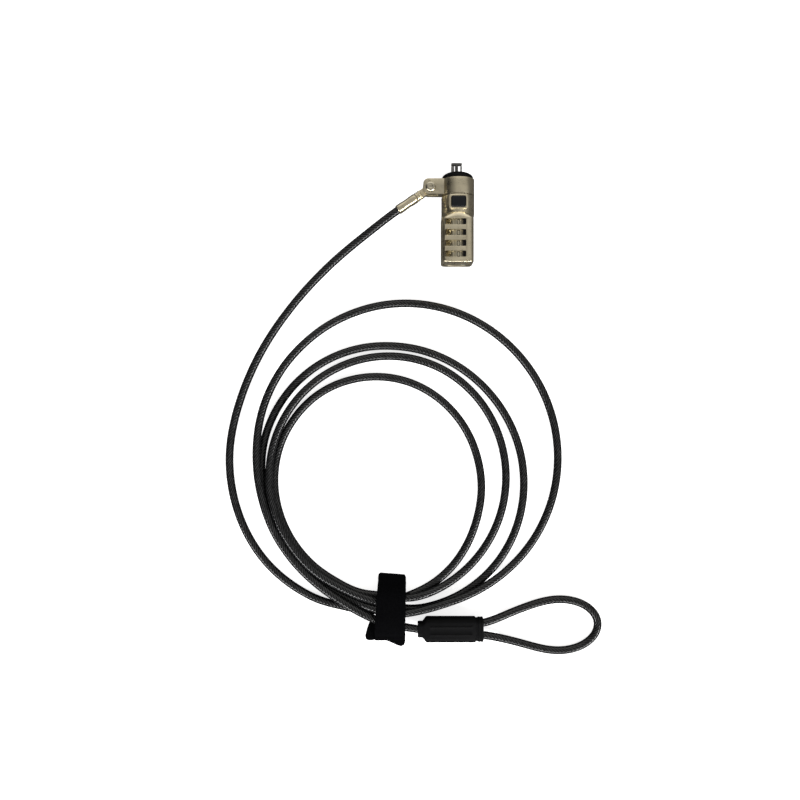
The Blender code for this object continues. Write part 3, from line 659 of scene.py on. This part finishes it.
NECK_Z, NECK_RADIUS, NECK_TOP, NECK_INSET = 8.1, 8.0, 21.55, 0.28
HEAD_LOW, SHOULDER_LOW, SHOULDER_RUN, SHOULDER_ARCH = -11.85, 9.6, 3.0, 1.3
HEAD_X, HEAD_HALF, HEAD_DEPTH, CORNER, END_ROUND = -0.5, 7.75, 17.2, 2.6, 0.7
CORNER_STEPS, SIDE_STEPS = 10, 12
FRONT_LOW, FRONT_RUN = 5, 3  # heights over which the casing passes from its square back to its round front
MECH = (-0.8, 9.4)  # x and z of the axis that the wheels and the spindle share
WHEEL_YS = (7.8, 2.6, -2.6, -7.8)
WHEEL_RADIUS, WHEEL_BORE, WHEEL_HALF, WHEEL_EDGE = 6.5, 4.3, 2.2, 0.25
TENTH = math.pi / 5
DIGIT_START = math.radians(5)
BUTTON = (-0.23, 17.6)
BUTTON_HALF = (3.5, 2.6)
RESET = (MECH[0] + 3.4, MECH[1] - 2.0)  # x and z of the code-change screw
PIVOT = (-13.65, 25.85, NECK_Z)
UPRIGHT = Matrix.Rotation(math.pi / 2, 4, "X")


def on_axis(bm):
    return moved(bm, (MECH[0], 0, MECH[1]))


def casing_ring(y, inset, roundness, arch=0.0):
    """Points round the casing at y: a rounded square whose front half turns into the round neck."""
    half = HEAD_HALF - inset, HEAD_DEPTH / 2 - inset
    square = rounded((HEAD_X, HEAD_DEPTH / 2), half, CORNER - inset * 0.6, CORNER_STEPS)
    points = []
    for i, (x, z) in enumerate(square):
        points.append((x, z))
        next_x, next_z = square[(i + 1) % len(square)]
        if i % (CORNER_STEPS + 1) == CORNER_STEPS:  # a side follows
            for k in range(1, SIDE_STEPS):
                points.append((x + (next_x - x) * k / SIDE_STEPS, z + (next_z - z) * k / SIDE_STEPS))
    shaped = []
    for x, z in points:
        away = math.atan2(z - NECK_Z, x)
        front = min(1.0, max(0.0, (z - FRONT_LOW) / FRONT_RUN))
        share = roundness * front * front * (3 - 2 * front)
        round_x, round_z = NECK_RADIUS * math.cos(away), NECK_Z + NECK_RADIUS * math.sin(away)
        rise = arch * front * (1 - ((x - HEAD_X) / HEAD_HALF) ** 2)
        shaped.append((x + (round_x - x) * share, y + rise, z + (round_z - z) * share))
    return shaped


def housing(nickel):
    low = HEAD_LOW + END_ROUND
    rings = []
    for i in range(5):
        a = math.pi / 8 * i
        rings.append(casing_ring(HEAD_LOW + END_ROUND * (1 - math.cos(a)), END_ROUND * (1 - math.sin(a)), 0))
    for i in range(1, 10):
        rings.append(casing_ring(low + (SHOULDER_LOW - low) * i / 9, 0, 0))
    for i in range(1, 15):
        share = i / 14
        ease = math.sin(share * math.pi / 2) ** 1.4
        arch = SHOULDER_ARCH * math.sin(math.pi * share**0.8)
        rings.append(casing_ring(SHOULDER_LOW + SHOULDER_RUN * share, NECK_INSET * ease, ease, arch))
    rings.append(casing_ring(NECK_TOP, NECK_INSET, 1))
    panel = rounded((-0.85, -0.75), (6.1, 10.3), 1.5, 8)
    pad = rounded(BUTTON, (4.6, 3.55), 1.1, 8)
    rim = rounded(BUTTON, (4.15, 3.15), 1.0, 8)
    # joined on: the panel with the windows, the button's pad and rim, and the spigot inside the collar; cut out:
    # the wheels' bore, the room and opening of the button, the spindle's way through, the room of the detent strip
    steps = [
        ("+", prism(panel, "Z", 13.5, HEAD_DEPTH + 0.12)),
        ("+", prism(pad, "Z", 13.0, 16.5)),
        ("+", prism(rim, "Z", 13.0, 16.8)),
        ("+", moved(rod(5.6, NECK_TOP - 0.5, 29.9), (0, 0, NECK_Z))),
        ("-", on_axis(rod(6.8, HEAD_LOW - 1, 11.4))),
        ("-", box((-5, 10.9, 3.0), (5, 21.0, 13.6))),
        ("-", prism(rounded(BUTTON, (3.72, 2.82), 1.05, 8), "Z", 12.6, 18)),
        ("-", on_axis(rod(2.4, 20.5, 23.5))),
        ("-", on_axis(rod(3.1, 22.8, 30.9))),
        ("-", box((1.6, HEAD_LOW - 1, 13.5), (5.2, 10.9, 16.2))),
    ]
    for y in WHEEL_YS:
        steps.append(("-", prism(rounded((-1.7, y), (5.1, 1.475), 0.3, 4), "Z", 10.0, 18)))
    piece("housing", skin(rings), "lock_head", nickel, steps, 0.14, ["dial_housing"])


def grooved(angle, radius):
    """The wheel's radius at an angle: a narrow groove half-way between each two numbers of its rim."""
    if radius == WHEEL_BORE:
        return radius
    away = abs(((angle - DIGIT_START + 2 * math.pi) / TENTH) % 1 - 0.5) * 2  # 1 at a number, 0 between two
    return radius - 0.38 * max(0.0, 1 - away / 0.2) ** 0.7


def wheels(metal, ink):
    half, rim = WHEEL_HALF, WHEEL_RADIUS - WHEEL_EDGE
    profile = [(WHEEL_BORE, -half), (rim, -half), (WHEEL_RADIUS, -half + WHEEL_EDGE)]
    profile += [(r, -y) for r, y in profile[::-1]]
    for number, y in enumerate(WHEEL_YS, 1):
        body = f"wheel_{number}"
        steps = [("-", box((-0.65, -3, -4.9), (0.65, 3, -3.9)))]
        ring = turned(profile, 120, True, grooved)
        replaced = [f"number_wheel_{number}"]
        wheel = piece(f"dial_{number}", ring, body, metal, steps, 0, replaced, 30)
        placed(wheel, (MECH[0], y, MECH[1]))
        digits = bmesh.new()
        for digit in range(10):
            add_digit(digits, digit, DIGIT_START + digit * TENTH)
        mark = piece(f"numbers_{number}", digits, body, ink, (), 0, (), 30)
        placed(mark, (MECH[0], y, MECH[1]))


STROKES = {  # each number's strokes, as points in a box 1 wide and 2 high
    0: [[(0.2, 0), (0.8, 0), (1, 0.3), (1, 1.7), (0.8, 2), (0.2, 2), (0, 1.7), (0, 0.3), (0.2, 0)]],
    1: [[(0.15, 1.6), (0.55, 2), (0.55, 0)], [(0.15, 0), (0.95, 0)]],
    2: [[(0, 1.6), (0.2, 2), (0.8, 2), (1, 1.7), (1, 1.25), (0, 0), (1, 0)]],
    3: [
        [(0, 1.75), (0.25, 2), (0.8, 2), (1, 1.75), (1, 1.3), (0.8, 1.05), (0.4, 1.05)],
        [(0.8, 1.05), (1, 0.8), (1, 0.25), (0.8, 0), (0.2, 0), (0, 0.25)],
    ],
    4: [[(0.75, 0), (0.75, 2), (0, 0.65), (1, 0.65)]],
    5: [[(1, 2), (0.05, 2), (0, 1.1), (0.75, 1.2), (1, 0.9), (1, 0.3), (0.75, 0), (0.2, 0), (0, 0.25)]],
    6: [
        [(0.9, 2), (0.3, 1.6), (0, 0.9), (0, 0.3), (0.2, 0), (0.8, 0)]
        + [(1, 0.3), (1, 0.85), (0.8, 1.1), (0.2, 1.1), (0, 0.85)]
    ],
    7: [[(0, 2), (1, 2), (0.35, 0)]],
    8: [
        [(0.2, 1.05), (0, 1.3), (0, 1.75), (0.2, 2), (0.8, 2), (1, 1.75), (1, 1.3), (0.8, 1.05)]
        + [(0.2, 1.05), (0, 0.8), (0, 0.25), (0.2, 0), (0.8, 0), (1, 0.25), (1, 0.8), (0.8, 1.05)]
    ],
    9: [
        [(0.1, 0), (0.7, 0.4), (1, 1.1), (1, 1.7), (0.8, 2), (0.2, 2)]
        + [(0, 1.7), (0, 1.15), (0.2, 0.9), (0.8, 0.9), (1, 1.15)]
    ],
}
DIGIT_WIDTH, DIGIT_HEIGHT, STROKE = 1.35, 2.2, 0.3
DIGIT_SUNK, DIGIT_PROUD = 0.05, 0.03


def add_digit(bm, digit, angle):
    """Adds a number's strokes as thin closed ribs wrapped on the wheel."""
    levels = WHEEL_RADIUS - DIGIT_SUNK, WHEEL_RADIUS + DIGIT_PROUD
    for line in STROKES[digit]:
        for (x0, y0), (x1, y1) in zip(line, line[1:]):
            a = Vector(((x0 - 0.5) * DIGIT_WIDTH, (y0 - 1) * DIGIT_HEIGHT / 2))
            b = Vector(((x1 - 0.5) * DIGIT_WIDTH, (y1 - 1) * DIGIT_HEIGHT / 2))
            along = (b - a).normalized()
            across = Vector((-along.y, along.x)) * STROKE / 2
            a, b = a - along * STROKE * 0.35, b + along * STROKE * 0.35
            lower, upper = [], []
            for corner in (a - across, b - across, b + across, a + across):
                turn = angle + corner.x / WHEEL_RADIUS
                for level, ring in zip(levels, (lower, upper)):
                    ring.append(bm.verts.new((level * math.sin(turn), corner.y, level * math.cos(turn))))
            for i in range(4):
                bm.faces.new((lower[i], lower[(i + 1) % 4], upper[(i + 1) % 4], upper[i]))
            bm.faces.new(lower)
            bm.faces.new(upper)
    bmesh.ops.recalc_face_normals(bm, faces=bm.faces)


def push_button(black):
    rings = []
    for z, inset in ((12.9, 0.0), (16.75, 0.0), (16.98, 0.06), (17.13, 0.18), (17.2, 0.35)):
        rings.append((z, inset, 0.9 - inset * 0.5))
    # the top is a shallow dish, slightly lower in the middle
    rings += [(17.2, 0.7, 0.6), (17.14, 1.2, 0.6), (17.08, 1.9, 0.6)]
    outlines = []
    for z, inset, corner in rings:
        half = [size - inset for size in BUTTON_HALF]
        outlines.append([(a, b, z) for a, b in rounded(BUTTON, half, corner, 8)])
    x, z = MECH
    steps = [
        ("+", box((-4.0, 13.85, 12.4), (4.0, 20.7, 13.3))),
        ("+", box((x + 0.1, 14.9, 9.0), (x + 2.4, 15.9, 12.9))),
        ("-", box((x + 0.5, 14, z + 0.53), (x + 1.92, 17, z + 1.47))),
        ("+", prism([(13.85, 9.85), (16.0, 7.7), (16.0, 12.8), (13.85, 12.8)], "X", x - 2.7, x - 1.7)),
        ("-", box((x - 2.4, 15.95, 12.1), (x + 2.4, 21, 13.8))),
    ]
    piece("push_button", skin(outlines), "button", black, steps, 0.06, ["button"])


def bumper(black):
    base, top, reach = 30.2, 33.6, 7.6
    profile = [(7.25, base), (7.5, base + 0.2)]
    for i in range(15):
        a = math.pi / 2 * i / 15
        profile.append((reach * math.cos(a) ** 0.9, base + 0.5 + (top - base - 0.5) * math.sin(a)))
    profile.append((0.4, top))
    steps = [
        ("-", moved(rod(6.3, base - 1, 31.3), (0.2, 0, 0))),
        ("-", moved(prism(rounded(MECH, (2.95, 1.45), 0.5, 6), "Y", 30, 35), (0.2, 0, -NECK_Z))),
    ]
    made = piece("bumper", turned(profile), "lock_head", black, steps, 0.1, ["bumper_cap"])
    placed(made, (-0.2, 0, NECK_Z))


def nose(metal):
    x, z = MECH
    steps = [("+", on_axis(rod(2.8, 28.2, 30.6)))]
    for middle, half in ((-1.9, 0.7), (2.25, 0.35)):
        steps.append(("+", prism(rounded((x + middle, z), (half, 1.1), 0.3, 5), "Y", 30.7, 36.2)))
    steps.append(("-", on_axis(rod(1.5, 27, 32))))
    steps.append(("-", box((x - 1.15, 27, z - 2.3), (x + 1.15, 32, z + 2.3))))
    flange = moved(rod(6.0, 30.2, 31.0), (0, 0, NECK_Z))
    piece("nose_plug", flange, "lock_head", metal, steps, 0.12, ["nose_insert"])

    profile = [(2.1, 16.2), (2.1, 17.0), (1.2, 17.0), (1.2, 22.9), (2.2, 22.9)]
    profile += [(2.2, 23.5), (1.2, 23.5), (1.2, 30.4), (0.75, 30.8), (0.75, 37.0)]
    bar = prism(rounded((0, 37.2), (2.65, 0.6), 0.5, 6), "Z", -1.0, 1.0)
    steps = [("+", bar), ("+", moved(rod(0.35, 14.6, 16.5, 24), (1.0, 0, 1.0)))]
    spindle = piece("t_bar", turned(profile, 48), "t_bar", metal, steps, 0.1, ["t_bar_spindle"])
    placed(spindle, (x, 0, z))


def base_end(nickel, steel):
    cap = on_axis(rod(6.5, HEAD_LOW + 0.15, -10.6, 96))
    hole = moved(rod(1.9, HEAD_LOW - 1, -10), (RESET[0], 0, RESET[1]))
    piece("base_plate", cap, "lock_head", nickel, [("-", hole)], 0.15, ["base_cap"])
    screw = rod(1.6, HEAD_LOW + 0.25, -10.35, 48)
    slot = box((-2, HEAD_LOW - 1, -0.25), (2, HEAD_LOW + 0.8, 0.25))
    made = piece("code_screw", screw, "code_screw", steel, [("-", slot)], 0.1, ["reset_screw"])
    placed(made, (RESET[0], 0, RESET[1]))


def collar(nickel, bright):
    low, high, lug_low = 21.85, 29.9, 22.3
    lug = [(-6.5, lug_low), (-6.5, high)]
    for quarter, corner_y, sign in ((1, high, 1), (2, lug_low, -1)):
        for i in range(11):
            a = math.pi / 2 * (quarter + i / 10)
            lug.append((-14.7 + 2.5 * math.cos(a), corner_y - sign * 2.5 + 2.5 * math.sin(a)))
    steps = [
        ("+", prism(lug, "Z", 4.15 - NECK_Z, 12.05 - NECK_Z)),
        ("-", box((-18, 22, -1.8), (-10, 31, 1.8))),
        ("-", rod(5.9, 21, 31, 128)),
        ("-", moved(rod(1.8, -5, 5), (PIVOT[0], PIVOT[1], 0), UPRIGHT)),
    ]
    ring = tube(NECK_RADIUS, 5.9, low, high, 128)
    made = piece("collar_ring", ring, "collar", nickel, steps, 0.22, ["swivel_collar"])
    placed(made, (0, 0, NECK_Z))

    half = 4.25
    flare = [(0.75, 0.15), (0.8, 0.55), (1.2, 0.75), (1.75, 0.66)]
    flare += [(2.25, 0.4), (2.45, 0.12), (2.45, 0), (1.5, 0)]
    profile = [(r, -half - rise) for r, rise in flare] + [(r, half + rise) for r, rise in flare[::-1]]
    made = piece("rivet", turned(profile, 64), "collar", bright, (), 0, ["pivot_rivet"], 50)
    placed(made, PIVOT, UPRIGHT)


EYE_TURN = Matrix.Rotation(math.radians(213.9 - 90), 4, "Z")  # from +Y to the way the cable leaves the clevis
SLEEVE_RADIUS, CRIMP_LOW, CRIMP_RUN, CRIMP_DEPTH = 2.4, 11.6, 4.4, 0.14


def cable_fittings(nickel):
    profile = [(1.9, 5.4), (2.35, 5.8), (2.35, 6.3)]
    for low in (6.45, 7.35):
        profile += [(2.0, low), (2.0, low + 0.3), (2.35, low + 0.45), (2.35, low + 0.75)]
    profile[-1] = (2.35, 8.25)
    steps = [
        ("+", moved(rod(3.1, -1.5, 1.5, 64), turn=UPRIGHT)),
        ("+", box((-1.9, 0, -1.5), (1.9, 6.2, 1.5))),
        ("-", moved(rod(1.8, -3, 3), turn=UPRIGHT)),
    ]
    shape = turned(profile, 64)
    eye = piece("cable_eye", shape, "cable", nickel, steps, 0.12, ["cable_eye_end"])
    placed(eye, PIVOT, EYE_TURN)

    def crimped(angle, radius):
        return radius * (1 - 0.03 * (0.5 + 0.5 * math.cos(6 * angle)))

    profile = [(2.05, 8.5), (2.3, 8.65), (2.38, 8.95), (SLEEVE_RADIUS, 9.4), (SLEEVE_RADIUS, CRIMP_LOW)]
    for i in range(1, 12):
        pressed = CRIMP_DEPTH * math.sin(math.pi * i / 12) ** 0.5
        profile.append((SLEEVE_RADIUS - pressed, CRIMP_LOW + CRIMP_RUN * i / 12))
    profile += [(SLEEVE_RADIUS, 16.0), (SLEEVE_RADIUS, 18.6), (2.36, 19.05), (2.22, 19.3), (1.98, 19.4)]
    shape = turned(profile, radius_at=crimped)
    sleeve = piece("sleeve", shape, "cable", nickel, (), 0, ["crimp_sleeve"], 50)
    placed(sleeve, PIVOT, EYE_TURN)


# ---- strap and loop cover ----

# The tie's centreline across the bundle as (y, z): from its free end over the bundle, round the head's outer
# bar and up through the head's slot, over and under the bundle, and into the head
TIE_ROUTE = [
    (-164.5, 6.3),
    (-168.2, 8.0),
    (-171.8, 9.7),
    (-175.5, 10.6),
    (-182.0, 10.75),
    (-187.0, 10.35),
    (-190.9, 9.1),
    (-193.9, 7.3),
    (-195.2, 4.9),
    (-196.2, 3.2),
    (-197.4, 2.75),
    (-198.4, 1.65),
    (-197.4, 0.6),
    (-195.9, 0.55),
    (-194.6, 0.75),
    (-194.0, 1.9),
    (-193.8, 4.2),
    (-192.7, 6.6),
    (-190.2, 7.9),
    (-186.5, 9.3),
    (-182.0, 9.65),
    (-176.5, 9.55),
    (-173.0, 8.8),
    (-171.6, 6.6),
    (-171.4, 3.6),
    (-172.5, 1.3),
    (-175.5, 0.58),
    (-184.0, 0.58),
    (-190.0, 0.8),
    (-192.2, 1.5),
    (-192.9, 1.65),
]
TIE_THICK, TIE_CORNER = 0.95, 0.38
TIE_LEFT, TIE_RIGHT, TIE_STEP = -39.3, -25.6, 0.7
FREE_END_Y, WIDEN_RUN = -165, 28  # the strap gets a little wider and further left from its free end on
HEAD_OUTLINE = [
    (-26.3, -191.6),
    (-25.9, -196.0),
    (-26.0, -199.6),
    (-26.7, -201.1),
    (-28.1, -201.7),
    (-29.8, -201.2),
    (-32.6, -199.9),
    (-36.2, -198.4),
    (-39.5, -198.0),
    (-42.4, -198.6),
    (-44.4, -198.7),
    (-45.7, -197.9),
    (-46.0, -196.3),
    (-45.0, -192.6),
    (-43.6, -188.8),
    (-41.0, -188.6),
    (-33.0, -190.2),
]


def pile():
    n = Nodes("hook_and_loop_pile")
    fine = n.noise(5200, 3.0)
    broad = n.noise(420, 2.0)
    n.put("Base Color", n.mix(n.ranged(fine, 0.35, 0.75), (0.001, 0.001, 0.0012), (0.004, 0.004, 0.0045)))
    n.put("Roughness", n.ranged(broad, 0.3, 0.7, 0.85, 1.0))
    n.put("Normal", n.bump(n.maths("ADD", fine, n.maths("MULTIPLY", broad, 0.6)), 0.0003, 0.7))
    n.put("Specular IOR Level", 0.0)
    n.put("Sheen Weight", 0.02)
    n.put("Sheen Roughness", 0.6)
    n.put("Sheen Tint", (0.12, 0.12, 0.13))
    return n.material


def tie(finish):
    route = curve_through([np.array([0.0, y, z]) for y, z in TIE_ROUTE], TIE_STEP)
    along = np.gradient(route, axis=0)
    along /= np.linalg.norm(along, axis=1)[:, None]
    rings = []
    for index, ((_, y, z), (_, ty, tz)) in enumerate(zip(route, along)):
        share = min(1.0, max(0.0, (FREE_END_Y - y) / WIDEN_RUN))
        left, right = TIE_LEFT - 1.9 * share, TIE_RIGHT - 0.5 * share
        # square corners at the free end, a little rounded
        narrow = 0.8 * max(0.0, 1 - index / 2) ** 2
        outline = rounded((0, 0), ((right - left) / 2 - narrow, TIE_THICK / 2), TIE_CORNER, 3)
        dense = []
        for i, (u, w) in enumerate(outline):
            dense.append((u, w))
            next_u = outline[(i + 1) % len(outline)][0]
            if abs(next_u - u) > 5:  # the two long sides
                dense += [(u + (next_u - u) * k / 12, w) for k in range(1, 12)]
        ring = []
        for u, w in dense:
            x = (left + right) / 2 + u
            point = Vector((x, y - tz * w, z + ty * w))
            fuzz = noise.noise(point * 0.9) * 0.16 + noise.noise(point * 2.7) * 0.07
            slant = 0.075 * u * max(0.0, 1 - index / 12)
            sideways = fuzz * (1 if abs(u) > 6 else 0.2)
            ring.append((x + sideways, point.y - slant + fuzz * 0.3, max(0.03, point.z + fuzz * 0.25)))
        rings.append(ring)
    band = piece("tie", skin(rings), "cable", finish, (), 0, ["strap"], 60)
    head = prism(HEAD_OUTLINE, "Z", 1.2, 2.1)
    slot = box((-41.1, -194.7, 0), (-26.2, -193.3, 4))
    plate = piece("tie_head", head, "cable", finish, [("-", slot)], 0.3, (), 50)


COVER_Y, COVER_Z, COVER_X = -192.5, 4.3, -19.8  # its axis, and its left end


def cover(plastic):
    stations = [  # distance from the left end, half width, half height
        (0.0, 3.75, 2.95),
        (0.25, 4.0, 3.2),
        (2.3, 4.0, 3.2),
        (2.55, 4.15, 3.35),
        (4.0, 5.9, 4.05),
        (4.5, 6.15, 4.25),
        (28.3, 6.15, 4.25),
        (28.6, 5.95, 4.1),
        (28.85, 5.6, 3.8),
        (29.7, 5.6, 3.8),
        (29.95, 5.85, 4.05),
        (30.9, 5.9, 4.1),
        (31.0, 5.75, 3.95),
        (31.3, 5.75, 3.95),
        (31.4, 5.9, 4.1),
        (32.25, 5.9, 4.1),
        (32.5, 5.65, 3.85),
    ]
    rings = []
    for x, half_y, half_z in stations:
        ring = rounded((COVER_Y, COVER_Z), (half_y, half_z), min(half_z, 2.6), 8)
        rings.append([(COVER_X + x, y, z) for y, z in ring])
    steps = []
    for y in (COVER_Y - 6.1, COVER_Y + 6.1):
        low, high = (COVER_X + 5.2, y - 0.25, COVER_Z - 0.3), (COVER_X + 27.6, y + 0.25, COVER_Z + 0.3)
        steps.append(("+", box(low, high)))
    for y in (-194.4, -190.6):
        low, high = (COVER_X + 6.2, y - 0.35, COVER_Z + 3.9), (COVER_X + 26.8, y + 0.35, COVER_Z + 4.37)
        steps.append(("+", box(low, high)))
    steps.append(("-", prism(rounded((COVER_Y, COVER_Z), (5.25, 3.1), 2.2, 6), "X", -10.3, 8.6)))
    aside = Matrix.Rotation(-math.pi / 2, 4, "Z")
    steps.append(("-", moved(rod(2.15, COVER_X - 1, -10, 48), (0, COVER_Y, COVER_Z), aside)))
    for y in (-189.75, -195.25):
        steps.append(("-", moved(rod(2.25, 8.3, 14, 48), (0, y, COVER_Z), aside)))
    piece("loop_sleeve", skin(rings), "cable", plastic, steps, 0.1, ["loop_cover"])


add_camera()
add_floor()
add_light()
finish = finishes()
cable()
tie(pile())
cover(finish["cover"])
cable_fittings(finish["nickel"])
housing(finish["nickel"])
wheels(finish["wheel"], finish["ink"])
push_button(finish["gloss"])
bumper(finish["plastic"])
nose(finish["spindle"])
base_end(finish["nickel"], finish["steel"])
collar(finish["nickel"], finish["rivet"])
for key, names in CARRIED.items():
    for name in names:
        nodes[name].data.materials.clear()
        nodes[name].data.materials.append(finish[key])
